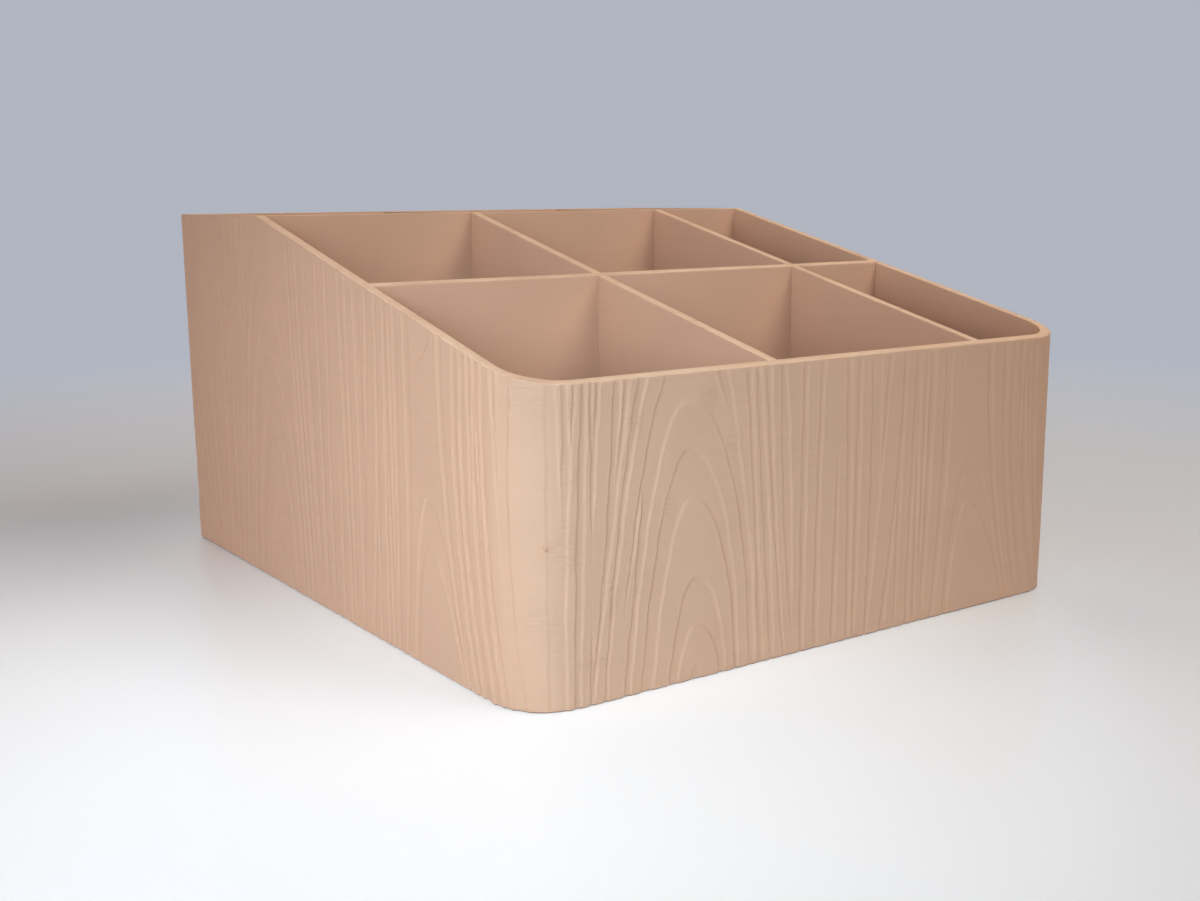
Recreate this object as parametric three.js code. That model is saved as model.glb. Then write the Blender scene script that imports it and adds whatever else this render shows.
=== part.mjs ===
// Bathroom organizer: an open tray, low at the front and high at the back, whose dividers
// make three columns and three rows of compartments. The top is level over the rear row
// and slopes down to the front, and every rim and divider ends in that one surface.
// Millimetres. The origin is under the middle of the tray, +Z is up, and the front faces -Y.
import * as THREE from "three";

// Clear inside sizes of the compartments, from left to right and from front to back.
const LEFT_COLUMN = 74.5;
const MIDDLE_COLUMN = 76;
const RIGHT_COLUMN = 36.5;
const FRONT_ROW = 77;
const MIDDLE_ROW = 73.5;
const REAR_ROW = 64.5;

// Heights of the top over the rear row and at the front face.
const REAR_HEIGHT = 118;
const FRONT_HEIGHT = 80;

// Thicknesses of the outer walls, the dividers and the floor.
const WALL = 3.25;
const DIVIDER = 3.25;
const FLOOR = 2.5;

// Outside radius of the two front corners, and the facets that round each of them.
const CORNER_RADIUS = 16;
const CORNER_FACETS = 12;

// The matt sand-coloured plastic that the whole tray is made of.
const SAND = 0xc8a68c;
const MATT = 0.62;

// Outside size, and the planes that the pieces share.
const WIDTH = WALL + LEFT_COLUMN + DIVIDER + MIDDLE_COLUMN + DIVIDER + RIGHT_COLUMN + WALL;
const DEPTH = WALL + FRONT_ROW + DIVIDER + MIDDLE_ROW + DIVIDER + REAR_ROW + WALL;
const LEFT = -WIDTH / 2;
const RIGHT = WIDTH / 2;
const FRONT = -DEPTH / 2;
const BACK = DEPTH / 2;
const INNER_LEFT = LEFT + WALL;
const INNER_RIGHT = RIGHT - WALL;
const INNER_FRONT = FRONT + WALL;
const INNER_BACK = BACK - WALL;
const CORNER_END = FRONT + CORNER_RADIUS;

// Each divider is named by the face that it turns to the left or to the front.
const LEFT_DIVIDER = INNER_LEFT + LEFT_COLUMN;
const RIGHT_DIVIDER = LEFT_DIVIDER + DIVIDER + MIDDLE_COLUMN;
const FRONT_CROSS = INNER_FRONT + FRONT_ROW;
const REAR_CROSS = FRONT_CROSS + DIVIDER + MIDDLE_ROW;

// The slope runs from the front face up to the face of the rear cross divider.
const RISE = (REAR_HEIGHT - FRONT_HEIGHT) / (REAR_CROSS - FRONT);

function topAt(y) {
  return Math.min(REAR_HEIGHT, FRONT_HEIGHT + (y - FRONT) * RISE);
}

// Crossing dividers share their height: each one is slotted through half of it.
function lapAt(y) {
  return (FLOOR + topAt(y)) / 2;
}

function piece(name, geometry) {
  const material = new THREE.MeshStandardMaterial({ color: SAND, roughness: MATT, metalness: 0 });
  const mesh = new THREE.Mesh(geometry, material);
  mesh.name = name;
  return mesh;
}

// Extrudes a closed outline by a thickness, with sharp edges.
function plate(shape, thickness) {
  const settings = { depth: thickness, bevelEnabled: false, curveSegments: CORNER_FACETS };
  return new THREE.ExtrudeGeometry(shape, settings);
}

// A plate whose outline is drawn in depth and height, standing lengthwise from x on.
function lengthwise(shape, x, thickness) {
  const turn = new THREE.Matrix4().makeBasis(
    new THREE.Vector3(0, 1, 0),
    new THREE.Vector3(0, 0, 1),
    new THREE.Vector3(1, 0, 0),
  );
  return plate(shape, thickness).applyMatrix4(turn).translate(x, 0, 0);
}

// A plate whose outline is drawn in width and height, standing across the tray from y on.
function crosswise(shape, y, thickness) {
  const turn = new THREE.Matrix4().makeBasis(
    new THREE.Vector3(1, 0, 0),
    new THREE.Vector3(0, 0, 1),
    new THREE.Vector3(0, -1, 0),
  );
  return plate(shape, thickness).applyMatrix4(turn).translate(0, y + thickness, 0);
}

// Brings every corner at the given height down to the sloping top.
function sloped(geometry, height) {
  const corners = geometry.getAttribute("position");
  for (let i = 0; i < corners.count; i += 1) {
    if (corners.getZ(i) === Math.fround(height)) corners.setZ(i, topAt(corners.getY(i)));
  }
  return geometry;
}

// The floor lies between the walls and follows the rounded front corners inside.
function basePlate() {
  const radius = CORNER_RADIUS - WALL;
  const outline = new THREE.Shape();
  outline.moveTo(INNER_LEFT, INNER_BACK);
  outline.lineTo(INNER_LEFT, CORNER_END);
  outline.absarc(LEFT + CORNER_RADIUS, CORNER_END, radius, Math.PI, 1.5 * Math.PI);
  outline.absarc(RIGHT - CORNER_RADIUS, CORNER_END, radius, 1.5 * Math.PI, 2 * Math.PI);
  outline.lineTo(INNER_RIGHT, INNER_BACK);
  return plate(outline, FLOOR);
}

// The front is one bent wall: a quarter round at each end and a straight run between them.
function frontWall() {
  const inside = CORNER_RADIUS - WALL;
  const outline = new THREE.Shape();
  outline.absarc(LEFT + CORNER_RADIUS, CORNER_END, CORNER_RADIUS, Math.PI, 1.5 * Math.PI);
  outline.absarc(RIGHT - CORNER_RADIUS, CORNER_END, CORNER_RADIUS, 1.5 * Math.PI, 2 * Math.PI);
  outline.absarc(RIGHT - CORNER_RADIUS, CORNER_END, inside, 2 * Math.PI, 1.5 * Math.PI, true);
  outline.absarc(LEFT + CORNER_RADIUS, CORNER_END, inside, 1.5 * Math.PI, Math.PI, true);
  return sloped(plate(outline, REAR_HEIGHT), REAR_HEIGHT);
}

// A side wall runs from the end of the rounded corner to the square rear corner.
function sideWall(x) {
  const outline = new THREE.Shape();
  outline.moveTo(CORNER_END, 0);
  outline.lineTo(BACK, 0);
  outline.lineTo(BACK, REAR_HEIGHT);
  outline.lineTo(REAR_CROSS, REAR_HEIGHT);
  outline.lineTo(CORNER_END, topAt(CORNER_END));
  return lengthwise(outline, x, WALL);
}

// The back closes the tray between the two side walls.
function backWall() {
  const outline = new THREE.Shape();
  outline.moveTo(INNER_LEFT, 0);
  outline.lineTo(INNER_RIGHT, 0);
  outline.lineTo(INNER_RIGHT, REAR_HEIGHT);
  outline.lineTo(INNER_LEFT, REAR_HEIGHT);
  return crosswise(outline, INNER_BACK, WALL);
}

// A lengthwise divider stands on the floor, and each cross divider drops into a slot from above.
function lengthwiseDivider(x) {
  const outline = new THREE.Shape();
  outline.moveTo(INNER_FRONT, FLOOR);
  outline.lineTo(INNER_BACK, FLOOR);
  outline.lineTo(INNER_BACK, REAR_HEIGHT);
  for (const face of [REAR_CROSS, FRONT_CROSS]) {
    outline.lineTo(face + DIVIDER, topAt(face + DIVIDER));
    outline.lineTo(face + DIVIDER, lapAt(face));
    outline.lineTo(face, lapAt(face));
    outline.lineTo(face, topAt(face));
  }
  outline.lineTo(INNER_FRONT, topAt(INNER_FRONT));
  return lengthwise(outline, x, DIVIDER);
}

// A cross divider has its slots below, where it straddles the two lengthwise dividers.
function crossDivider(y) {
  const outline = new THREE.Shape();
  outline.moveTo(INNER_LEFT, FLOOR);
  for (const face of [LEFT_DIVIDER, RIGHT_DIVIDER]) {
    outline.lineTo(face, FLOOR);
    outline.lineTo(face, lapAt(y));
    outline.lineTo(face + DIVIDER, lapAt(y));
    outline.lineTo(face + DIVIDER, FLOOR);
  }
  outline.lineTo(INNER_RIGHT, FLOOR);
  outline.lineTo(INNER_RIGHT, REAR_HEIGHT);
  outline.lineTo(INNER_LEFT, REAR_HEIGHT);
  return sloped(crosswise(outline, y, DIVIDER), REAR_HEIGHT);
}

const organizer = new THREE.Group();
organizer.add(
  piece("base_plate", basePlate()),
  piece("front_wall", frontWall()),
  piece("left_wall", sideWall(LEFT)),
  piece("right_wall", sideWall(INNER_RIGHT)),
  piece("back_wall", backWall()),
  piece("left_divider", lengthwiseDivider(LEFT_DIVIDER)),
  piece("right_divider", lengthwiseDivider(RIGHT_DIVIDER)),
  piece("front_cross_divider", crossDivider(FRONT_CROSS)),
  piece("rear_cross_divider", crossDivider(REAR_CROSS)),
);

export default organizer;
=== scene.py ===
# %% [markdown]
# # A sand-coloured bathroom organizer
# The real thing is one matt plastic print: an open tray, low and rounded at the front, tall and
# square at the back, with dividers that make three columns and three rows of compartments. Its
# outside carries a wood grain in low relief. This file loads the solid model as a fixed frame and
# gives every wall the carved surface, the soft edges and the finish of the print.

# %% The frame
import bpy
import math
import numpy as np
from collections import namedtuple
from mathutils import Matrix, Vector


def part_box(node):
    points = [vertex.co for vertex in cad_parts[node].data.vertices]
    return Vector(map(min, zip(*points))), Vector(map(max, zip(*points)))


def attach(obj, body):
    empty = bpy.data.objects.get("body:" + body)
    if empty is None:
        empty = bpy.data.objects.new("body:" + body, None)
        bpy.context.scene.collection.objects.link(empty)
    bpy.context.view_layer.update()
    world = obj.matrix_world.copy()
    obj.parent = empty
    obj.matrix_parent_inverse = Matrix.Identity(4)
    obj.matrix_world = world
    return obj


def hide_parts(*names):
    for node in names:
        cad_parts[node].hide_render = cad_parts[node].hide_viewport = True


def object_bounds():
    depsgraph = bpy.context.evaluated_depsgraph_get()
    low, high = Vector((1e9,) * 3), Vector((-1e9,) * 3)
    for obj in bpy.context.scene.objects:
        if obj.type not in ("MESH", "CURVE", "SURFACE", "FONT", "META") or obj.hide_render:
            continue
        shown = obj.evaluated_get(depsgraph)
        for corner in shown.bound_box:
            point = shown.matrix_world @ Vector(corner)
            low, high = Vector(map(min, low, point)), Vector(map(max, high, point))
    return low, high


MM = 0.001

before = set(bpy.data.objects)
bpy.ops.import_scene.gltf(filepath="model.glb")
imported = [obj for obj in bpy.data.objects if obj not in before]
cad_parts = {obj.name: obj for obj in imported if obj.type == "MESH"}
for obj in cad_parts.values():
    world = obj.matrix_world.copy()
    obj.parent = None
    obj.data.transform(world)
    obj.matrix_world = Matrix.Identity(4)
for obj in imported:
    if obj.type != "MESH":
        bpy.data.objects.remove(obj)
cad_low, cad_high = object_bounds()
print("frame:", sorted(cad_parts), [round(v / MM, 2) for v in (*cad_low, *cad_high)])

# %% [markdown]
# ## Sizes
# Every size is read from the boxes of the solid pieces, in millimetres, so the looks follow the
# solids if those are ever changed. The top of the tray is one surface: level over the rear row,
# then sloping down to the front. Two points on that slope are enough to find it again.

# %% Sizes from the solids
def box_mm(node):
    """Lowest and highest corner of a solid piece, in millimetres."""
    low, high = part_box(node)
    return np.array(low) / MM, np.array(high) / MM


LEFT, FRONT, FOOT = np.array(cad_low) / MM
RIGHT, BACK, REAR_HEIGHT = np.array(cad_high) / MM
INNER_LEFT = box_mm("left_wall")[1][0]
INNER_RIGHT = box_mm("right_wall")[0][0]
INNER_BACK = box_mm("back_wall")[0][1]
WALL = INNER_LEFT - LEFT
INNER_FRONT = FRONT + WALL
CORNER_END = box_mm("left_wall")[0][1]
CORNER_RADIUS = CORNER_END - FRONT
FLOOR = box_mm("base_plate")[1][2]
SLOPE_END = box_mm("rear_cross_divider")[0][1]
CORNER_HEIGHT = box_mm("front_wall")[1][2]
RISE = (REAR_HEIGHT - CORNER_HEIGHT) / (SLOPE_END - CORNER_END)


def top_at(y):
    """Height of the rim and of the dividers at a depth y."""
    return np.minimum(REAR_HEIGHT, CORNER_HEIGHT + (y - CORNER_END) * RISE)


print(f"tray {RIGHT - LEFT:.2f} x {BACK - FRONT:.2f} x {REAR_HEIGHT:.2f} mm, "
      f"walls {WALL:.2f} mm, front height {float(top_at(FRONT)):.2f} mm")

# %% [markdown]
# ## The camera
# The camera stands low, in front of the rounded left corner, so both grained sides and the inside
# show. A camera could be turned by hand until it fits, but the pose is written here as three turns
# and a place, which were fitted to the edges of the tray.

# %% Camera
CAMERA_PLACE = Vector((-261.43, -377.47, 122.98)) * MM
CAMERA_YAW, CAMERA_PITCH, CAMERA_ROLL = (math.radians(a) for a in (-34.848, 10.486, 0.4675))
CAMERA_LENS, CAMERA_SENSOR = 41.16, 36
NEAREST = 0.01

forward = Vector((-math.sin(CAMERA_YAW) * math.cos(CAMERA_PITCH),
                  math.cos(CAMERA_YAW) * math.cos(CAMERA_PITCH),
                  -math.sin(CAMERA_PITCH)))
level_right = Vector((math.cos(CAMERA_YAW), math.sin(CAMERA_YAW), 0))
level_down = forward.cross(level_right)
right = math.cos(CAMERA_ROLL) * level_right + math.sin(CAMERA_ROLL) * level_down
down = -math.sin(CAMERA_ROLL) * level_right + math.cos(CAMERA_ROLL) * level_down

bpy.ops.object.select_all(action="DESELECT")
bpy.ops.object.camera_add()
camera = bpy.context.object
camera.name = "camera"
camera.data.sensor_width = CAMERA_SENSOR
camera.data.lens = CAMERA_LENS
camera.data.clip_start = NEAREST
turn = Matrix((right, -down, -forward)).transposed().to_4x4()
camera.matrix_world = Matrix.Translation(CAMERA_PLACE) @ turn
bpy.context.scene.camera = camera
bpy.context.scene.view_settings.view_transform = "Standard"
print("camera at", [round(v, 3) for v in camera.location], "lens", camera.data.lens)

# %% [markdown]
# ## Helpers for finishes
# A finish is a web of shader nodes. In the shader editor each node is added, set and linked by
# hand. Here a small helper does that for one kind of node and returns its output socket, so that a
# web reads like a formula.

# %% Helpers for nodes
def math_node(tree, operation, first, second=0.0):
    """A Math node; each input is a number or a socket. Returns its output socket."""
    node = tree.nodes.new("ShaderNodeMath")
    node.operation = operation
    for socket, value in zip(node.inputs, (first, second)):
        if isinstance(value, (int, float)):
            socket.default_value = value
        else:
            tree.links.new(value, socket)
    return node.outputs["Value"]


def range_node(tree, value, low, high, to_low, to_high, curve="LINEAR"):
    """A Map Range node that turns one range of a value into another. Returns its output socket."""
    node = tree.nodes.new("ShaderNodeMapRange")
    node.interpolation_type = curve
    node.inputs["From Min"].default_value = low
    node.inputs["From Max"].default_value = high
    node.inputs["To Min"].default_value = to_low
    node.inputs["To Max"].default_value = to_high
    tree.links.new(value, node.inputs["Value"])
    return node.outputs["Result"]


def show_mix(tree, share, first, second, output):
    """Shows the first shader where the share is 0 and the second where it is 1."""
    mix = tree.nodes.new("ShaderNodeMixShader")
    tree.links.new(share, mix.inputs["Fac"])
    tree.links.new(first, mix.inputs[1])
    tree.links.new(second, mix.inputs[2])
    tree.links.new(mix.outputs["Shader"], tree.nodes[output].inputs["Surface"])


def straight_rays(tree):
    """A socket that is 1 for rays that show a thing itself or its mirror image, else 0."""
    path = tree.nodes.new("ShaderNodeLightPath")
    shown = path.outputs["Is Camera Ray"]
    for ray in ("Is Glossy Ray", "Is Transmission Ray"):
        shown = math_node(tree, "MAXIMUM", shown, path.outputs[ray])
    return shown


print("helpers:", [h.__name__ for h in (math_node, range_node, show_mix, straight_rays)])

# %% [markdown]
# ## The table
# The tray stands on a smooth white table top. It melts into the pale background with distance: a
# Transparent shader takes over further out, so no horizon line is left behind the tray. In front
# of the tray, round a point before its left front corner, a painted pool of light makes the table
# whiter than the lamps alone would make it; the Light Path node allows that without lighting the
# tray any more.

# %% The table's finish
FLOOR_WHITE = (0.835, 0.885, 0.915, 1)
FLOOR_ROUGHNESS = 0.32
# A painted pool of light on the table: its strength, its middle, and where it starts and stops
# fading, in metres.
PAINTED_POOL_STRENGTH = 0.42
PAINTED_POOL_PLACE = (-0.16, -0.13, 0.0)
PAINTED_POOL_START, PAINTED_POOL_END = 0.04, 0.34
FADE_PLACE = (0.0, 0.0, 0.0)
FADE_START, FADE_END = 0.20, 0.80


def distance_node(tree, vector, place):
    """A socket that gives the distance from a place, in metres."""
    node = tree.nodes.new("ShaderNodeVectorMath")
    node.operation = "DISTANCE"
    node.inputs[1].default_value = place
    tree.links.new(vector, node.inputs[0])
    return node.outputs["Value"]


table_white = bpy.data.materials.new("table_white")
table_white.use_nodes = True
tree = table_white.node_tree
gloss = tree.nodes["Principled BSDF"]
gloss.inputs["Base Color"].default_value = FLOOR_WHITE
gloss.inputs["Roughness"].default_value = FLOOR_ROUGHNESS
gloss.inputs["Emission Color"].default_value = FLOOR_WHITE
where = tree.nodes.new("ShaderNodeTexCoord").outputs["Object"]
# The painted pool of light, strongest before the tray's left front corner, shown only to camera and
# mirror rays.
painted_pool = range_node(tree, distance_node(tree, where, PAINTED_POOL_PLACE), PAINTED_POOL_START, PAINTED_POOL_END,
                  PAINTED_POOL_STRENGTH, 0.0, "SMOOTHSTEP")
painted_pool_shown = math_node(tree, "MULTIPLY", straight_rays(tree), painted_pool)
tree.links.new(painted_pool_shown, gloss.inputs["Emission Strength"])
fade = range_node(tree, distance_node(tree, where, FADE_PLACE), FADE_START, FADE_END,
                  0.0, 1.0, "SMOOTHERSTEP")
clear = tree.nodes.new("ShaderNodeBsdfTransparent")
show_mix(tree, fade, gloss.outputs["BSDF"], clear.outputs["BSDF"], "Material Output")
print("finish", table_white.name, "fades out from", FADE_START, "to", FADE_END, "m")

# %% The table top
FLOOR_SIZE = 6.0

bpy.ops.object.select_all(action="DESELECT")
bpy.ops.mesh.primitive_plane_add(size=FLOOR_SIZE)
table_top = bpy.context.object
table_top.name = "table_top"
table_top.data.materials.append(table_white)
print("table top", FLOOR_SIZE, "m wide")

# %% [markdown]
# ## The light
# A high, wide lamp to the front right lights the front, and a nearer one above reaches into the
# compartments, where the dividers shade the corners behind them. A soft lamp lights the left side.
# Two narrow ones near the rounded corner make that corner the brightest place, so both sides fall
# off along their length. A warm lamp high behind reaches the rims, and two low ones keep the right
# side and the back from going dark. Only the high lamps are mirrored in the table.

# %% Lamps
WIDE = 180
TRAY_MIDDLE = (0.0, 0.0, 0.05)

# Name, place and aim in metres, size, power, colour, and spread in degrees.
LAMPS = [
    ("high_front_lamp", (0.50, -1.10, 1.00), TRAY_MIDDLE, 0.70, 5.4, (0.925, 0.865, 0.92), WIDE),
    ("high_near_lamp", (0.20, -0.24, 0.56), TRAY_MIDDLE, 0.30, 0.90, (1.0, 0.85, 0.66), WIDE),
    ("side_lamp", (-0.80, -0.03, 0.20), (-0.05, 0.0, 0.05), 0.40, 1.50, (0.95, 0.86, 0.92), WIDE),
    ("near_side_lamp", (-0.50, -0.27, 0.17), (-0.08, -0.06, 0.05), 0.22, 0.080,
     (0.86, 0.92, 0.98), 60),
    ("corner_lamp", (-0.34, -0.38, 0.16), (-0.09, -0.10, 0.05), 0.20, 0.102,
     (0.60, 0.82, 1.0), 40),
    ("high_rear_lamp", (-0.10, 0.60, 1.00), TRAY_MIDDLE, 0.60, 1.8, (1.0, 0.68, 0.50), WIDE),
    ("right_fill_lamp", (0.90, 0.25, 0.30), (0.05, 0.0, 0.05), 0.50, 1.6, (1.0, 0.95, 0.90), WIDE),
    ("rear_fill_lamp", (0.25, 0.95, 0.35), (0.0, 0.05, 0.05), 0.50, 2.4, (1.0, 0.92, 0.86), WIDE),
]

for name, place, aim, size, power, colour, spread in LAMPS:
    bpy.ops.object.select_all(action="DESELECT")
    bpy.ops.object.light_add(type="AREA", location=place)
    lamp = bpy.context.object
    lamp.name = name
    lamp.rotation_euler = (Vector(aim) - Vector(place)).to_track_quat("-Z", "Y").to_euler()
    lamp.data.size = size
    lamp.data.energy = power
    lamp.data.color = colour
    lamp.data.spread = math.radians(spread)
    lamp.visible_camera = False
    lamp.visible_glossy = name.startswith("high")

# %% Background
BACKGROUND = (0.44, 0.465, 0.53, 1)
EVEN_LIGHT, EVEN_STRENGTH = (0.96, 0.98, 1.0, 1), 0.02

world = bpy.data.worlds.new("studio")
bpy.context.scene.world = world
world.use_nodes = True
tree = world.node_tree
even = tree.nodes["Background"]
even.inputs["Color"].default_value = EVEN_LIGHT
even.inputs["Strength"].default_value = EVEN_STRENGTH
seen = tree.nodes.new("ShaderNodeBackground")
seen.inputs["Color"].default_value = BACKGROUND
show_mix(tree, straight_rays(tree), even.outputs["Background"], seen.outputs["Background"],
         "World Output")
print("background", BACKGROUND[:3], "with an even light of", EVEN_STRENGTH)

# %% [markdown]
# ## The print's finish
# The plastic is matt and sandy. A print shows the layers it is made of: fine level lines, some of
# them standing a little prouder than others, so long faint streaks run round the walls. Beside the
# edges of the carving the nozzle turns sharply and shakes, which leaves short ripples there, so
# the walls carry an attribute that says how near such an edge is. The sloping rims show the layers
# as fine steps. The faces that look up are painted lighter, a painted light from above, and the
# lowest 0.55 mm of the walls is painted darker, a painted contact shade at the foot. One node group
# makes all this from Object coordinates. The floor of the tray is filled with slanting strokes
# instead, which a second group makes.

# %% Helpers for node groups
INPUTS = [("Vector", "NodeSocketVector"), ("Edge", "NodeSocketFloat"), ("Level", "NodeSocketFloat")]
OUTPUTS = [("Height", "NodeSocketFloat"), ("Tone", "NodeSocketFloat"), ("Patch", "NodeSocketFloat")]


def pattern_group(name):
    """An empty shader node group with the sockets that every pattern of the print has."""
    group = bpy.data.node_groups.new(name, "ShaderNodeTree")
    for side, sockets in (("INPUT", INPUTS), ("OUTPUT", OUTPUTS)):
        for label, kind in sockets:
            group.interface.new_socket(label, in_out=side, socket_type=kind)
    given, made = group.nodes.new("NodeGroupInput"), group.nodes.new("NodeGroupOutput")
    return group, given.outputs, made.inputs


def noise_node(tree, vector, stretch, detail=2.0, turn=0.0):
    """Noise on coordinates turned about Z, with its features per metre along each axis."""
    turned = tree.nodes.new("ShaderNodeVectorRotate")
    turned.rotation_type = "Z_AXIS"
    turned.inputs["Angle"].default_value = turn
    tree.links.new(vector, turned.inputs["Vector"])
    mapping = tree.nodes.new("ShaderNodeMapping")
    mapping.inputs["Scale"].default_value = stretch
    tree.links.new(turned.outputs["Vector"], mapping.inputs["Vector"])
    noise = tree.nodes.new("ShaderNodeTexNoise")
    noise.inputs["Scale"].default_value = 1.0
    noise.inputs["Detail"].default_value = detail
    tree.links.new(mapping.outputs["Vector"], noise.inputs["Vector"])
    return noise.outputs["Fac"]


print("a pattern gives", [label for label, kind in OUTPUTS])

# %% Layer lines as a node group
LAYER = 0.30 * MM
WANDER = 0.6 * MM
FOOT_LINE, FOOT_LINE_WIDTH = 1.2 * MM, 0.2 * MM
# Painted contact shade: how high the darkening at the foot reaches, and how strong it is.
FOOT_SHADE_TOP, FOOT_SHADE_STRENGTH = 0.55 * MM, 2.0

# Features per metre of each noise: across the tray, along it and up.
WANDER_NOISE = (14, 14, 14)
PROUD_NOISE = (20, 20, 2400)
PATCH_NOISE = (45, 45, 45)
FINE_NOISE = (2600, 2600, 2600)
SHAKE_NOISE = (240, 240, 1300)

# How much each kind of line adds to the relief.
LINE_SHARE = 0.03
PROUD_SHARE, FINE_SHARE, FOOT_LINE_SHARE = 0.14, 0.2, -0.8
SHAKE_SHARE, EDGE_SHAKE_SHARE = 0.25, 8.5

layers, given, made = pattern_group("layer_lines")
split = layers.nodes.new("ShaderNodeSeparateXYZ")
layers.links.new(given["Vector"], split.inputs["Vector"])
up = split.outputs["Z"]

wander = math_node(layers, "MULTIPLY", noise_node(layers, given["Vector"], WANDER_NOISE), WANDER)
turns = math_node(layers, "MULTIPLY", math_node(layers, "ADD", up, wander), 2 * math.pi / LAYER)
relief = math_node(layers, "MULTIPLY", math_node(layers, "SINE", turns),
                   math_node(layers, "ADD", given["Level"], LINE_SHARE))
gap = math_node(layers, "ABSOLUTE", math_node(layers, "SUBTRACT", up, FOOT_LINE))
line = math_node(layers, "SUBTRACT", 1.0, math_node(layers, "MULTIPLY", gap, 1 / FOOT_LINE_WIDTH))
line = math_node(layers, "MAXIMUM", line, 0.0)
proud = noise_node(layers, given["Vector"], PROUD_NOISE)
fine = noise_node(layers, given["Vector"], FINE_NOISE, detail=1.0)
shake = noise_node(layers, given["Vector"], SHAKE_NOISE, detail=1.0)
shaken = math_node(layers, "ADD", math_node(layers, "MULTIPLY", given["Edge"], EDGE_SHAKE_SHARE),
                   SHAKE_SHARE)
for part, share in ((proud, PROUD_SHARE), (fine, FINE_SHARE), (line, FOOT_LINE_SHARE),
                    (shake, shaken)):
    relief = math_node(layers, "ADD", relief, math_node(layers, "MULTIPLY", part, share))
layers.links.new(relief, made["Height"])

# A painted contact shade: the colour darkens towards the foot.
foot = math_node(layers, "SUBTRACT", 1.0, math_node(layers, "MULTIPLY", up, 1 / FOOT_SHADE_TOP))
foot = math_node(layers, "MULTIPLY", math_node(layers, "MAXIMUM", foot, 0.0), FOOT_SHADE_STRENGTH)
# The tone adds a painted light on faces that look up and takes away the painted contact shade at
# the foot.
tone_with_painted_light_and_shade = math_node(layers, "SUBTRACT", math_node(layers, "ADD", proud, given["Level"]), foot)
layers.links.new(tone_with_painted_light_and_shade, made["Tone"])
layers.links.new(noise_node(layers, given["Vector"], PATCH_NOISE), made["Patch"])
print("group", layers.name, "with", len(layers.nodes), "nodes and layers of", LAYER / MM, "mm")

# %% Slanting strokes as a node group
STROKE_NOISE = (2000, 14, 14)
STROKE_SLANT = math.radians(45)

strokes, given, made = pattern_group("floor_strokes")
rows_of_plastic = noise_node(strokes, given["Vector"], STROKE_NOISE, turn=STROKE_SLANT)
strokes.links.new(rows_of_plastic, made["Height"])
strokes.links.new(rows_of_plastic, made["Tone"])
strokes.links.new(noise_node(strokes, given["Vector"], PATCH_NOISE), made["Patch"])
print("group", strokes.name, "with", len(strokes.nodes), "nodes")

# %% [markdown]
# The plastic itself is one Principled shader. A colour ramp turns the pattern's tone into four
# colours: a painted contact shade for the foot, two close shades of sand for the walls, and a
# painted light from above for the faces that look up. Those also shine a little more. The fine
# relief could be modelled, but lines of a few hundredths of a millimetre are better left to a
# Bump node.

# %% The sand plastic
# The foot's colour is a painted contact shade.
SAND_FOOT_SHADE = (0.40, 0.235, 0.15, 1)
SAND_DARK = (0.692, 0.433, 0.286, 1)
SAND_LIGHT = (0.742, 0.465, 0.306, 1)
# The colour of the faces that look up is a painted light from above.
SAND_TOP_PAINTED_LIGHT = (0.96, 0.680, 0.460, 1)
DARK_TONE, LIGHT_TONE = 0.3, 0.7
LEVEL_START, LEVEL_FULL = 0.5, 0.9
WALL_SHINE, LEVEL_SHINE = 0.22, 0.3
SMOOTHEST, ROUGHEST = 0.52, 0.66
RELIEF = 0.05 * MM


def sand_plastic(name, pattern):
    """The matt plastic, its tone, roughness and fine relief taken from a pattern group."""
    finish = bpy.data.materials.new(name)
    finish.use_nodes = True
    tree = finish.node_tree
    shader = tree.nodes["Principled BSDF"]
    where = tree.nodes.new("ShaderNodeTexCoord")
    face = tree.nodes.new("ShaderNodeNewGeometry")
    upward = tree.nodes.new("ShaderNodeSeparateXYZ")
    tree.links.new(face.outputs["True Normal"], upward.inputs["Vector"])
    # Faces that look up: their colour gets a painted light from above, and they shine a little
    # more.
    level = range_node(tree, upward.outputs["Z"], LEVEL_START, LEVEL_FULL, 0.0, 1.0)
    shine = range_node(tree, level, 0.0, 1.0, WALL_SHINE, LEVEL_SHINE)
    tree.links.new(shine, shader.inputs["Specular IOR Level"])

    edge = tree.nodes.new("ShaderNodeAttribute")
    edge.attribute_name = "edge"
    made = tree.nodes.new("ShaderNodeGroup")
    made.node_tree = pattern
    tree.links.new(where.outputs["Object"], made.inputs["Vector"])
    tree.links.new(edge.outputs["Fac"], made.inputs["Edge"])
    tree.links.new(level, made.inputs["Level"])

    half_tone = math_node(tree, "MULTIPLY", made.outputs["Tone"], 0.5)
    half_patch = math_node(tree, "MULTIPLY", made.outputs["Patch"], 0.5)
    shades = tree.nodes.new("ShaderNodeValToRGB")
    ramp = shades.color_ramp.elements
    ramp[0].position, ramp[0].color = DARK_TONE, SAND_DARK
    ramp[1].position, ramp[1].color = LIGHT_TONE, SAND_LIGHT
    ramp.new(0.0).color = SAND_FOOT_SHADE
    ramp.new(1.0).color = SAND_TOP_PAINTED_LIGHT
    tree.links.new(math_node(tree, "ADD", half_tone, half_patch), shades.inputs["Fac"])
    tree.links.new(shades.outputs["Color"], shader.inputs["Base Color"])
    rough = range_node(tree, made.outputs["Tone"], 0.0, 1.0, SMOOTHEST, ROUGHEST)
    tree.links.new(rough, shader.inputs["Roughness"])

    bump = tree.nodes.new("ShaderNodeBump")
    bump.inputs["Strength"].default_value = 1.0
    bump.inputs["Distance"].default_value = RELIEF
    tree.links.new(made.outputs["Height"], bump.inputs["Height"])
    tree.links.new(bump.outputs["Normal"], shader.inputs["Normal"])
    return finish


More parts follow.
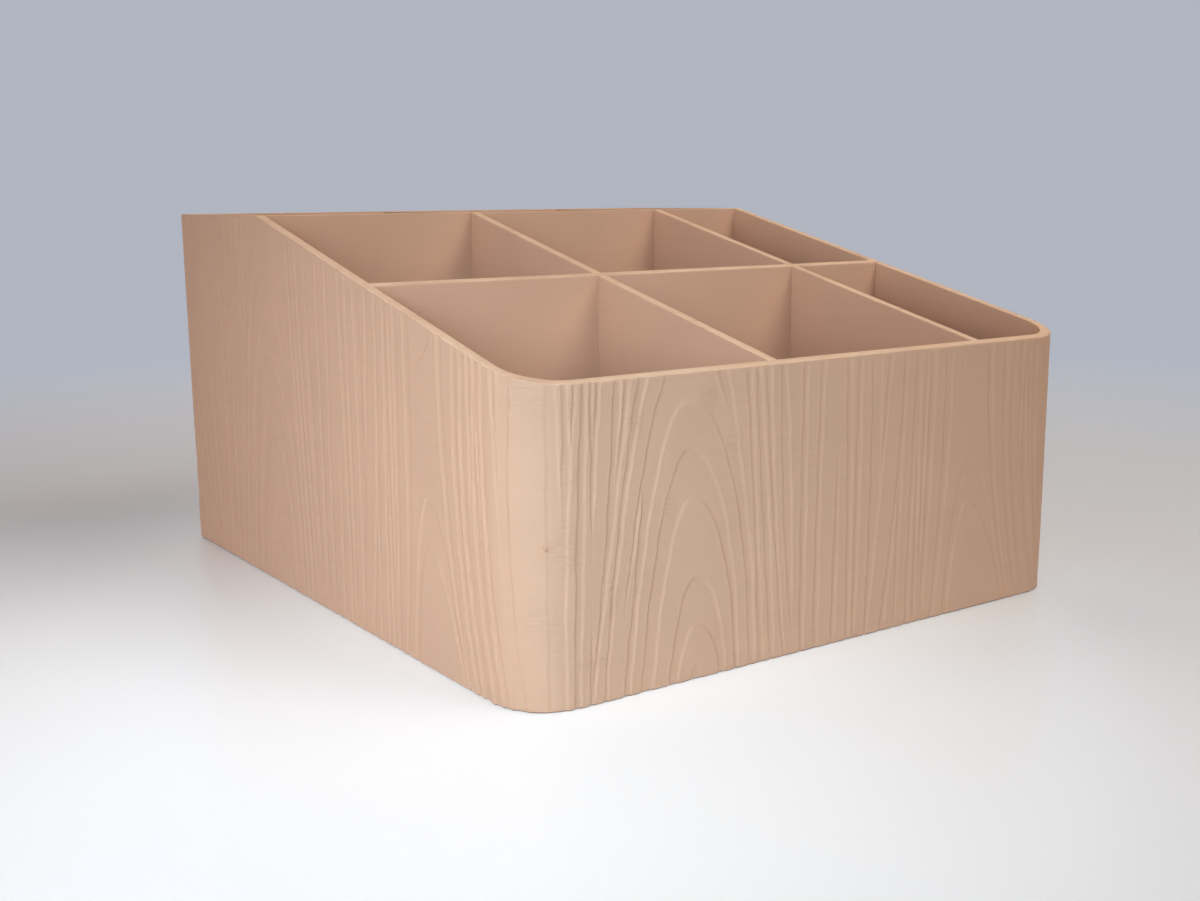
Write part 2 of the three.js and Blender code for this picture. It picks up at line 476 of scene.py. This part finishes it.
wall_finish = sand_plastic("printed_sand", layers)
floor_finish = sand_plastic("printed_sand_floor", strokes)
print("finishes", wall_finish.name, "and", floor_finish.name)

# %% [markdown]
# ## The wood grain
# The grain is a two-level relief, like a wood block: bands of the face are sunk by up to two
# fifths of a millimetre, deepest by the rounded left corner, and the rest stays proud. Along the
# outside it repeats like the veneer it imitates. Each sunk band is written as where its left and
# right edge lie near the rim, half-way up and at the foot, measured along the outside from the
# rear left corner; a smooth curve runs through the three. A band whose edges cross before the rim
# or the foot ends in a point. Two flame figures are nested arches, and thin proud slivers split
# some of the bands.

# %% The grain as drawn
GRAIN_REPEAT = 194.3
GRAIN_SHIFT = 0.36
RIM_MARK, MIDDLE_MARK = 80.0, 40.0

# Left edge at the rim mark, the middle mark and the foot, then the right edge at these heights.
SUNK_BANDS = [
    (205.9, 205.4, 213.2, 206.2, 207.7, 215.7),
    (205.8, 208.6, 211.5, 207.1, 208.5, 209.0),
    (209.0, 210.3, 216.3, 210.2, 212.0, 218.3),
    (213.5, 216.0, 219.5, 219.7, 219.0, 222.8),
    (228.3, 228.3, 228.4, 236.3, 233.3, 233.2),
    (237.8, 235.8, 235.0, 239.2, 238.0, 236.6),
    (240.1, 240.1, 240.1, 243.0, 240.2, 237.0),
    (242.0, 240.6, 239.5, 237.0, 239.5, 240.4),
    (247.0, 244.3, 239.5, 252.0, 246.2, 240.3),
    (252.0, 249.6, 248.4, 246.0, 247.6, 249.3),
    (288.7, 291.8, 293.8, 290.6, 293.0, 296.0),
    (292.0, 294.7, 298.0, 293.5, 297.0, 299.5),
    (295.2, 298.4, 302.5, 297.3, 299.5, 303.3),
    (300.7, 302.0, 306.5, 302.5, 305.0, 305.4),
    (308.7, 308.3, 308.6, 310.2, 310.2, 310.0),
    (315.0, 314.0, 313.5, 316.7, 315.4, 315.5),
    (324.0, 321.2, 320.3, 320.0, 322.2, 321.4),
    (324.5, 325.4, 326.0, 326.5, 327.2, 327.3),
    (328.7, 328.6, 328.4, 330.3, 330.4, 329.4),
    (334.0, 334.3, 333.3, 342.2, 338.3, 334.4),
    (346.9, 344.4, 339.0, 348.3, 347.0, 346.0),
    (351.8, 350.5, 349.7, 353.8, 353.9, 354.4),
    (355.6, 355.0, 355.2, 356.6, 356.2, 355.4),
    (357.7, 357.0, 355.5, 360.2, 359.0, 357.2),
    (363.7, 363.2, 360.2, 367.0, 365.8, 361.6),
    (382.0, 385.4, 395.0, 384.5, 387.3, 396.0),
    (389.5, 390.8, 399.0, 391.5, 393.2, 401.0),
    (393.7, 394.3, 402.5, 395.2, 396.7, 405.5),
    (396.9, 398.0, 400.0, 398.4, 397.9, 396.0),
]

# Proud slivers inside the bands, written the same way.
PROUD_SLIVERS = [
    (214.9, 216.2, 217.0, 215.8, 215.6, 215.0),
    (230.7, 232.2, 233.5, 232.6, 231.8, 231.0),
    (233.9, 235.0, 236.0, 235.2, 234.0, 233.0),
    (240.8, 241.5, 242.0, 241.8, 240.0, 238.5),
    (249.3, 245.8, 240.0, 250.3, 245.4, 239.0),
    (260.8, 253.4, 246.0, 258.0, 254.3, 249.4),
    (338.0, 338.3, 338.6, 340.8, 338.0, 336.0),
    (348.0, 345.4, 341.2, 344.0, 345.2, 345.0),
    (354.0, 352.0, 351.3, 352.0, 352.6, 352.8),
]

# Flame figures: each is sunk between an outer and an inner arch. An arch has the place and height
# of its peak, how far its left and right feet lie from the peak, and how full its sides are.
FLAMES = [
    ((268.3, 111.0, 24.5, 24.5, 1.2, 1.3), (268.3, 98.5, 23.8, 25.8, 1.2, 1.0)),
    ((268.6, 86.0, 20.7, 23.7, 1.2, 2.0), (269.7, 73.3, 18.0, 20.5, 1.2, 2.0)),
    ((270.2, 60.8, 15.2, 16.4, 1.2, 2.0), (271.0, 47.9, 12.2, 14.3, 1.2, 2.0)),
    ((272.2, 27.2, 8.4, 10.0, 1.2, 2.0), (272.2, 14.4, 5.5, 7.8, 1.2, 2.0)),
    ((272.4, 4.0, 2.0, 2.0, 1.2, 2.0), None),
    ((375.2, 46.7, 9.7, 18.8, 1.2, 0.8), (375.0, 33.2, 7.3, 18.5, 1.2, 0.8)),
]

print(len(SUNK_BANDS), "bands,", len(PROUD_SLIVERS), "slivers and", len(FLAMES), "flames every",
      GRAIN_REPEAT, "mm")

# %% Edges of the carving
CRISPEST, SOFTEST = 0.42, 1.4
CRISP_PLACE, CRISP_REACH = 235.0, 170.0

# How far a drawn edge strays, and over how many millimetres of height.
SLOW_BEND, SLOW_SPAN = 0.12, 3.3
QUICK_BEND, QUICK_SPAN = 0.08, 1.45
FINE_BEND, FINE_SPAN, FINE_PLACES = 0.12, 0.42, 4.7


def softness(s):
    """How wide the carved edges are: crispest by the rounded left corner."""
    away = np.clip(np.abs(s - CRISP_PLACE) / CRISP_REACH, 0, 1)
    return CRISPEST + (SOFTEST - CRISPEST) * away


def soft_step(distance, soft):
    """0 outside an edge and 1 inside it, over the softness of the carved edge."""
    t = np.clip(distance / soft + 0.5, 0, 1)
    return t * t * (3 - 2 * t)


def edge_at(z, rim, middle, foot):
    """A drawn edge at height z; above the rim mark it runs on, ever straighter."""
    low = np.minimum(z, RIM_MARK)
    curve = (rim * low * (low - MIDDLE_MARK) / (RIM_MARK * (RIM_MARK - MIDDLE_MARK))
             + middle * low * (RIM_MARK - low) / (MIDDLE_MARK * (RIM_MARK - MIDDLE_MARK))
             + foot * (low - MIDDLE_MARK) * (low - RIM_MARK) / (MIDDLE_MARK * RIM_MARK))
    lean = (1.5 * rim - 2 * middle + 0.5 * foot) / MIDDLE_MARK
    return curve + 0.5 * lean * (z - low)


def sway(z, seed):
    """How far a drawn edge strays at height z: slow bends, and in places a finer shake."""
    slow = (SLOW_BEND * np.sin(z / SLOW_SPAN + seed)
            + QUICK_BEND * np.sin(z / QUICK_SPAN + 2 * seed))
    shaky = np.clip(np.sin(z / FINE_PLACES + 5 * seed), 0, 1)
    return slow + FINE_BEND * np.sin(z / FINE_SPAN + 3 * seed) * shaky


print("edges are", CRISPEST, "to", SOFTEST, "mm wide")

# %% Figures of the carving
# A pocket that hangs from the rim over the second flame: its place, lowest point, and how fast its
# left and right sides rise. The knot below it is a small dimple: its place, height and half sizes.
POCKET = (371.8, 82.0, 0.26, 0.154)
POCKET_REACH = 12
KNOT = (371.3, 75.2, 0.6, 0.9)
KNOT_DEPTH, KNOT_EDGE = 0.7, 1.5
ARCH_FOOT, LEAST_STEEP = 0.5, 1e-4


def band(s, z, row, soft):
    """How far inside a band or sliver a point lies, 0 to 1."""
    left = edge_at(z, *row[:3]) + sway(z, row[0])
    right = edge_at(z, *row[3:]) + sway(z, row[3])
    return soft_step(s - left, soft) * soft_step(right - s, soft)


def arch(s, z, soft, peak, height, left, right, left_full, right_full):
    """How far inside an arch a point lies, 0 to 1."""
    across = s - peak + np.sign(s - peak) * sway(z, peak + height)
    foot = np.where(across < 0, left, right)
    full = np.where(across < 0, left_full, right_full)
    up = np.maximum(z, ARCH_FOOT)
    level = (across / foot) ** 2 + (up / height) ** full - 1
    steep = np.hypot(2 * across / foot ** 2, full * up ** (full - 1) / height ** full)
    return soft_step(-level / np.maximum(steep, LEAST_STEEP), soft)


def flame(s, z, soft, outer, inner):
    """How far a point lies between two arches, 0 to 1."""
    inside = arch(s, z, soft, *outer)
    return inside * (1 - arch(s, z, soft, *inner)) if inner else inside


def pocket(s, z, soft):
    """How far inside the hanging pocket a point lies, 0 to 1."""
    place, lowest, left_rise, right_rise = POCKET
    across = s - place
    rise = np.where(across < 0, left_rise, right_rise)
    above = (z - lowest - rise * across ** 2) / np.hypot(1, 2 * rise * across)
    return soft_step(above, soft) * (np.abs(across) < POCKET_REACH)


def knot(s, z):
    """How deep the knot's dimple is at a point, 0 to 1."""
    place, height, half_width, half_height = KNOT
    far = np.hypot((s - place) / half_width, (z - height) / half_height)
    return KNOT_DEPTH * np.clip(KNOT_EDGE - far, 0, 1)


print("one pocket at", POCKET[0], "mm and one knot at", KNOT[0], "mm")

# %% The grain as a depth
GRAIN_LEAD = 12

# Shares of the full depth at places along the outside.
DEPTH_SHARES = [
    (60.0, 0.42), (150.0, 0.55), (200.0, 0.78), (214.0, 1.0), (224.0, 1.0), (227.0, 0.42),
    (230.0, 0.42), (234.0, 0.95), (240.0, 1.0), (275.0, 0.70), (320.0, 0.52), (390.0, 0.58),
    (430.0, 0.58), (470.0, 0.62),
]


def grain(s, z):
    """How much of the grain's depth is sunk at a point of the outside, 0 to 1."""
    soft = softness(s)
    share = np.interp(s, *zip(*DEPTH_SHARES))
    first = min(row[0] for row in SUNK_BANDS) - GRAIN_LEAD
    s = np.mod(s - GRAIN_SHIFT - first, GRAIN_REPEAT) + first
    sunk = np.zeros_like(s)
    for shift in (0, GRAIN_REPEAT):
        at = s + shift
        for row in SUNK_BANDS:
            sunk = np.maximum(sunk, band(at, z, row, soft))
        for outer, inner in FLAMES:
            sunk = np.maximum(sunk, flame(at, z, soft, outer, inner))
        for row in PROUD_SLIVERS:
            sunk = sunk * (1 - band(at, z, row, soft))
        sunk = np.maximum(sunk, pocket(at, z, soft))
        sunk = np.maximum(sunk, knot(at, z))
    return sunk * share


probe = grain(np.array([232.0, 245.0, 312.0]), np.array([40.0, 40.0, 40.0]))
print("grain at three points:", np.round(probe, 2))

# %% Ripples
# Places where the nozzle shook: along the outside and up, with half widths and half heights.
SHAKES = [
    (222.5, 77.0, 7.5, 10.0), (232.5, 41.0, 4.0, 9.0), (226.0, 24.0, 6.0, 7.0),
    (234.5, 58.0, 3.0, 4.0), (245.5, 27.0, 3.0, 6.0), (275.5, 74.0, 4.5, 6.0),
    (264.0, 47.0, 3.0, 4.0), (284.0, 62.0, 4.0, 4.0), (240.0, 12.0, 6.0, 3.0),
    (253.0, 70.0, 3.0, 7.0),
]
SHAKE_FALL = 1.6


def shakes(s, z):
    """How much the nozzle shook at a point of the outside, 0 to 1."""
    shaken = np.zeros_like(s)
    for place, height, half_width, half_height in SHAKES:
        far = np.hypot((s - place) / half_width, (z - height) / half_height)
        shaken = np.maximum(shaken, np.clip(SHAKE_FALL - SHAKE_FALL * far, 0, 1))
    return shaken


print(len(SHAKES), "rippled places")

# %% [markdown]
# ## The outer walls
# A wall could be a box with a displaced face, but then the grain would stop short of the rim, and
# it would not run round the rounded corners. Instead each wall starts as a flat grid, like a strip
# of veneer. The grain is painted on it as vertex weights and a Displace modifier carves it. The
# strip is then folded over the wall: its rows run up the outside, over the rim and down the
# inside, and its columns follow the outside of the tray round the corners. So the carving nicks
# the rim, as on the print.

# %% The outline that the walls follow
QUARTER = math.pi / 2
SIDE_RUN = BACK - CORNER_END
CORNER_RUN = QUARTER * CORNER_RADIUS
FRONT_RUN = (RIGHT - LEFT) - 2 * CORNER_RADIUS
FRONT_START = SIDE_RUN + CORNER_RUN
FRONT_STOP = FRONT_START + FRONT_RUN
RIGHT_START = FRONT_STOP + CORNER_RUN


def outside(s):
    """Place and outward direction on the outside, s millimetres on from the rear left corner.
    Below zero it runs along the back."""
    left_turn = np.clip((s - SIDE_RUN) / CORNER_RADIUS, 0, QUARTER)
    right_turn = np.clip((s - FRONT_STOP) / CORNER_RADIUS, 0, QUARTER)
    turn = left_turn + right_turn
    out_x, out_y = -np.cos(turn), -np.sin(turn)
    along_front = np.clip(s - FRONT_START, 0, FRONT_RUN)
    x = LEFT + CORNER_RADIUS + along_front + CORNER_RADIUS * out_x
    y = (CORNER_END + CORNER_RADIUS * out_y + np.clip(SIDE_RUN - s, 0, SIDE_RUN)
         + np.clip(s - RIGHT_START, 0, None))
    behind = s < 0
    x = np.where(behind, LEFT - s, x)
    y = np.where(behind, BACK, y)
    return x, y, np.where(behind, 0.0, out_x), np.where(behind, 1.0, out_y)


print("outside runs", round(RIGHT_START + SIDE_RUN, 1), "mm round the sides and front")

# %% The rows of a folded wall
RIM_ROUND, RIM_STEP = 0.35, 0.10
FOOT_ROUND = 0.45
ROW_STEP = 0.72
INSIDE_ROWS = 8

# How much of the carving is left at shares of the rim's width.
RIM_FADE = ((0.28, 0.6), (0.5, 0.25), (0.75, 0.0))

# A row has its distance in from the outside, its share of the height or None on the rim, how far
# it lies under the rim, and how much of the carving it takes.
Row = namedtuple("Row", "inward share under carved")


def wall_rows(height):
    """Rows round a wall's section, from under the foot up, over the rim and down the inside."""
    rows = [Row(WALL, 0.0, 0.0, 0.0), Row(FOOT_ROUND, 0.0, 0.0, 1.0)]
    for share in np.linspace(0, 1, int(height / ROW_STEP)):
        rows.append(Row(0.0, float(share), 0.0, 1.0))
    rows += [Row(RIM_STEP, None, RIM_STEP, 1.0), Row(RIM_ROUND, None, 0.0, 1.0)]
    for inward, carved in RIM_FADE:
        rows.append(Row(WALL * inward, None, 0.0, carved))
    rows += [Row(WALL - RIM_ROUND, None, 0.0, 0.0), Row(WALL - RIM_STEP, None, RIM_STEP, 0.0)]
    for share in np.linspace(1, 0, INSIDE_ROWS):
        rows.append(Row(WALL, float(share), 0.0, 0.0))
    return rows


def fold(s, row, sunk):
    """Where a point of the strip lies on the wall, in millimetres."""
    x, y, out_x, out_y = outside(s)
    top = top_at(y - row.inward * out_y)
    if row.share is None:
        z = top - row.under
    else:
        on_foot = row.inward == 0 and row.share == 0
        z = FOOT_ROUND * on_foot + row.share * (top - RIM_ROUND)
    depth = row.inward + sunk
    return np.stack([x - depth * out_x, y - depth * out_y, z + 0 * s], -1)


print(len(wall_rows(REAR_HEIGHT)), "rows round a tall wall,", len(wall_rows(CORNER_HEIGHT)),
      "round the front")

# %% The strip and its paint
EDGE_REACH = 1.2
EDGE_SHAKE = 0.28


def corners(piece):
    """The places of a mesh's vertices as rows of numbers."""
    places = np.empty(len(piece.data.vertices) * 3)
    piece.data.vertices.foreach_get("co", places)
    return places.reshape(-1, 3)


def flat_strip(name, columns, rows):
    """A flat grid, with the number of the column and of the row that each vertex belongs to."""
    bpy.ops.object.select_all(action="DESELECT")
    bpy.ops.mesh.primitive_grid_add(x_subdivisions=columns, y_subdivisions=rows - 1, size=1)
    strip = bpy.context.object
    strip.name = name
    flat = corners(strip)
    column = np.rint((flat[:, 0] + 0.5) * columns).astype(int)
    line = np.rint((flat[:, 1] + 0.5) * (rows - 1)).astype(int)
    return strip, column, line


def paint(s, line, rows):
    """The grain's depth and the nozzle's shaking at every vertex, 0 to 1."""
    painted, shaken = np.zeros(len(s)), np.zeros(len(s))
    for number, row in enumerate(rows):
        here = line == number
        if row.carved > 0:
            z = fold(s[here], row, 0.0)[:, 2]
            painted[here] = row.carved * grain(s[here], z)
            shaken[here] = row.carved * shakes(s[here], z)
    return painted, shaken


def near_edges(painted, column, line, columns_per_mm):
    """How near a carved edge every vertex lies, 0 to 1."""
    carved = np.zeros((line.max() + 1, column.max() + 1))
    carved[line, column] = painted
    reach = np.hanning(2 * int(EDGE_REACH * columns_per_mm) + 1)
    change = np.abs(np.gradient(carved, axis=1))
    return np.clip([np.convolve(row, reach, "same") for row in change], 0, 1)[line, column]


print("ripples reach", EDGE_REACH, "mm from a carved edge")

# %% Carving, folding and closing a strip
GRAIN_DEPTH = 0.40
WEIGHT_STEPS = 250
MERGE = 1e-6
WALL_SMOOTH = math.radians(60)


def carve(strip, painted):
    """Sinks the painted grain with a Displace modifier. Returns the depth of every vertex."""
    group = strip.vertex_groups.new(name="grain")
    shades = np.rint(painted * WEIGHT_STEPS).astype(int)
    for shade in range(1, WEIGHT_STEPS + 1):
        where = np.flatnonzero(shades == shade)
        if len(where):
            group.add(where.tolist(), shade / WEIGHT_STEPS, "REPLACE")
    sink = strip.modifiers.new("carve", "DISPLACE")
    sink.vertex_group = "grain"
    sink.direction = "Z"
    sink.mid_level = 0.0
    sink.strength = -GRAIN_DEPTH
    bpy.ops.object.modifier_apply(modifier="carve")
    strip.vertex_groups.clear()
    return -corners(strip)[:, 2]


def fold_strip(strip, s, line, rows, sunk):
    """Moves every vertex of the strip to its place on the wall."""
    placed = np.empty((len(s), 3))
    for number, row in enumerate(rows):
        here = line == number
        placed[here] = fold(s[here], row, sunk[here])
    strip.data.vertices.foreach_set("co", (placed * MM).ravel())
    strip.data.update()


def close(strip):
    """Merges the seam under the foot, fills both ends and turns the faces outwards."""
    bpy.ops.object.mode_set(mode="EDIT")
    bpy.ops.mesh.select_all(action="SELECT")
    bpy.ops.mesh.remove_doubles(threshold=MERGE)
    bpy.ops.mesh.fill_holes(sides=0)
    bpy.ops.mesh.select_all(action="SELECT")
    bpy.ops.mesh.normals_make_consistent(inside=False)
    bpy.ops.object.mode_set(mode="OBJECT")
    bpy.ops.object.shade_smooth_by_angle(angle=WALL_SMOOTH)
    print(strip.name, "closed with", len(strip.data.polygons), "faces")


print("the grain is up to", GRAIN_DEPTH, "mm deep")

# %% The four walls
FACE_LIMIT = 96000


def grained_wall(node, start, stop):
    """A wall from start to stop along the outside, carved and folded from a flat strip."""
    rows = wall_rows(box_mm(node)[1][2])
    columns = FACE_LIMIT // len(rows)
    wall, column, line = flat_strip(node + "_print", columns, len(rows))
    s = start + (stop - start) * column / columns
    painted, shaken = paint(s, line, rows)
    near = near_edges(painted, column, line, columns / (stop - start))
    rippled = np.maximum(EDGE_SHAKE * near, shaken)
    wall.data.attributes.new("edge", "FLOAT", "POINT").data.foreach_set("value", rippled)
    fold_strip(wall, s, line, rows, carve(wall, painted))
    close(wall)
    wall.data.materials.append(wall_finish)
    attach(wall, "root")
    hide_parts(node)
    return wall


grained_wall("left_wall", 0.0, SIDE_RUN)
front_wall = grained_wall("front_wall", SIDE_RUN, RIGHT_START)
grained_wall("right_wall", RIGHT_START, RIGHT_START + SIDE_RUN)
grained_wall("back_wall", -(RIGHT - LEFT - WALL), -WALL)

# %% [markdown]
# On the rounded left corner the nozzle left one small blob behind. It is a sphere that sits about
# half in the wall, joined to the front wall.

# %% The blob on the corner
BLOB_PLACE, BLOB_HEIGHT = 228.2, 41.2
BLOB_RADIUS, BLOB_OUT = 0.80, 0.30
BLOB_SEGMENTS, BLOB_RINGS = 16, 8

blob_x, blob_y, out_x, out_y = (float(v) for v in outside(np.float64(BLOB_PLACE)))
blob_middle = (blob_x + BLOB_OUT * out_x, blob_y + BLOB_OUT * out_y, BLOB_HEIGHT)
bpy.ops.object.select_all(action="DESELECT")
bpy.ops.mesh.primitive_uv_sphere_add(segments=BLOB_SEGMENTS, ring_count=BLOB_RINGS,
                                     radius=BLOB_RADIUS * MM,
                                     location=[v * MM for v in blob_middle])
blob = bpy.context.object
bpy.ops.object.transform_apply(location=True, rotation=False, scale=False)
bpy.ops.object.shade_smooth()
blob.data.materials.append(wall_finish)
front_wall.select_set(True)
bpy.context.view_layer.objects.active = front_wall
bpy.ops.object.join()
print(front_wall.name, "with its blob has", len(front_wall.data.polygons), "faces")

# %% [markdown]
# ## The dividers
# The dividers are plain upright slabs whose tops lie in the same surface as the rim. Each starts
# as a cube at its size. The lengthwise ones are cut where the slope begins, the top corners are
# moved down onto the slope, and the long top edges are bevelled. In the print the dividers and
# walls are one piece, so here each slab reaches a little into the walls and the floor and lies a
# hair lower than the rim: that way no seam shows where they meet.

# %% Helpers for the dividers
def select_edges(mesh, test):
    """Selects the edges whose two ends together pass the test, and leaves edit mode open."""
    bpy.ops.object.mode_set(mode="OBJECT")
    for face in mesh.polygons:
        face.select = False
    for vertex in mesh.vertices:
        vertex.select = False
    for edge in mesh.edges:
        ends = [mesh.vertices[i].co / MM for i in edge.vertices]
        edge.select = test(*ends)
    bpy.ops.object.mode_set(mode="EDIT")


def slab_between(name, low, high):
    """A cube stretched between two corners, and cut where the slope begins."""
    bpy.ops.object.select_all(action="DESELECT")
    bpy.ops.mesh.primitive_cube_add(size=1)
    slab = bpy.context.object
    slab.name = name
    slab.scale = (high - low) * MM
    slab.location = (high + low) / 2 * MM
    bpy.ops.object.transform_apply(location=True, rotation=False, scale=True)
    bpy.ops.object.mode_set(mode="EDIT")
    bpy.ops.mesh.select_all(action="SELECT")
    if low.y < SLOPE_END < high.y:
        bpy.ops.mesh.bisect(plane_co=(0, SLOPE_END * MM, 0), plane_no=(0, 1, 0))
    bpy.ops.object.mode_set(mode="OBJECT")
    return slab


print("slabs are cut", round(BACK - SLOPE_END, 2), "mm in from the back")

# %% Dividers
REACH, INTO_FLOOR = 1.2, 1
HAIR = 0.03
NEAR_TOP = 0.01
TOP_ROUND, TOP_SEGMENTS = 0.35, 3
UPPER_PART, LONG_EDGE = FLOOR + 20, 10
PIECE_SMOOTH = math.radians(40)


def divider(node, low, high, lower):
    """A slab between two corners, in millimetres, with its top brought down to the slope."""
    low, high = Vector(low), Vector(high)
    slab = slab_between(node + "_print", low, high)
    for vertex in slab.data.vertices:
        if vertex.co.z / MM > high.z - NEAR_TOP:
            vertex.co.z = (float(top_at(vertex.co.y / MM)) - lower) * MM
    slab.data.update()
    along = 1 if high.y - low.y > high.x - low.x else 0
    bpy.ops.object.mode_set(mode="EDIT")
    bpy.ops.mesh.select_mode(type="EDGE")
    select_edges(slab.data, lambda a, b: (min(a.z, b.z) > UPPER_PART
                                          and abs(a[along] - b[along]) > LONG_EDGE))
    bpy.ops.mesh.bevel(offset=TOP_ROUND * MM, segments=TOP_SEGMENTS, affect="EDGES")
    bpy.ops.object.mode_set(mode="OBJECT")
    bpy.ops.object.shade_smooth_by_angle(angle=PIECE_SMOOTH)
    slab.data.materials.append(wall_finish)
    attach(slab, "root")
    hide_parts(node)
    print(slab.name, len(slab.data.polygons), "faces")


for node in ("left_divider", "right_divider"):
    low, high = box_mm(node)
    divider(node, (low[0], INNER_FRONT - REACH, FLOOR - INTO_FLOOR),
            (high[0], INNER_BACK + REACH, REAR_HEIGHT), HAIR)
for node in ("front_cross_divider", "rear_cross_divider"):
    low, high = box_mm(node)
    divider(node, (INNER_LEFT - REACH, low[1], FLOOR - INTO_FLOOR),
            (INNER_RIGHT + REACH, high[1], REAR_HEIGHT), 2 * HAIR)

# %% [markdown]
# ## The floor of the tray
# The floor is a flat plate inside the walls with two rounded front corners. It starts as a plane,
# the two front corners are bevelled as vertices, and the outline is extruded up to the floor's
# thickness.

# %% Floor of the tray
CORNER_STEPS = 24

bpy.ops.object.select_all(action="DESELECT")
bpy.ops.mesh.primitive_plane_add(size=1)
plate = bpy.context.object
plate.name = "base_plate_print"
plate.scale = ((INNER_RIGHT - INNER_LEFT) * MM, (INNER_BACK - INNER_FRONT) * MM, 1)
plate.location = ((INNER_RIGHT + INNER_LEFT) / 2 * MM, (INNER_BACK + INNER_FRONT) / 2 * MM,
                  FOOT * MM)
bpy.ops.object.transform_apply(location=True, rotation=False, scale=True)
bpy.ops.object.mode_set(mode="EDIT")
bpy.ops.mesh.select_mode(type="VERT")
bpy.ops.mesh.select_all(action="DESELECT")
bpy.ops.object.mode_set(mode="OBJECT")
for vertex in plate.data.vertices:
    vertex.select = vertex.co.y < 0
bpy.ops.object.mode_set(mode="EDIT")
bpy.ops.mesh.bevel(offset=(CORNER_RADIUS - WALL) * MM, segments=CORNER_STEPS, affect="VERTICES")
bpy.ops.mesh.select_all(action="SELECT")
bpy.ops.mesh.extrude_region_move(TRANSFORM_OT_translate={"value": (0, 0, FLOOR * MM)})
bpy.ops.mesh.select_all(action="SELECT")
bpy.ops.mesh.normals_make_consistent(inside=False)
bpy.ops.object.mode_set(mode="OBJECT")
bpy.ops.object.shade_smooth_by_angle(angle=PIECE_SMOOTH)
plate.data.materials.append(floor_finish)
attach(plate, "root")
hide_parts("base_plate")
print(plate.name, len(plate.data.polygons), "faces")
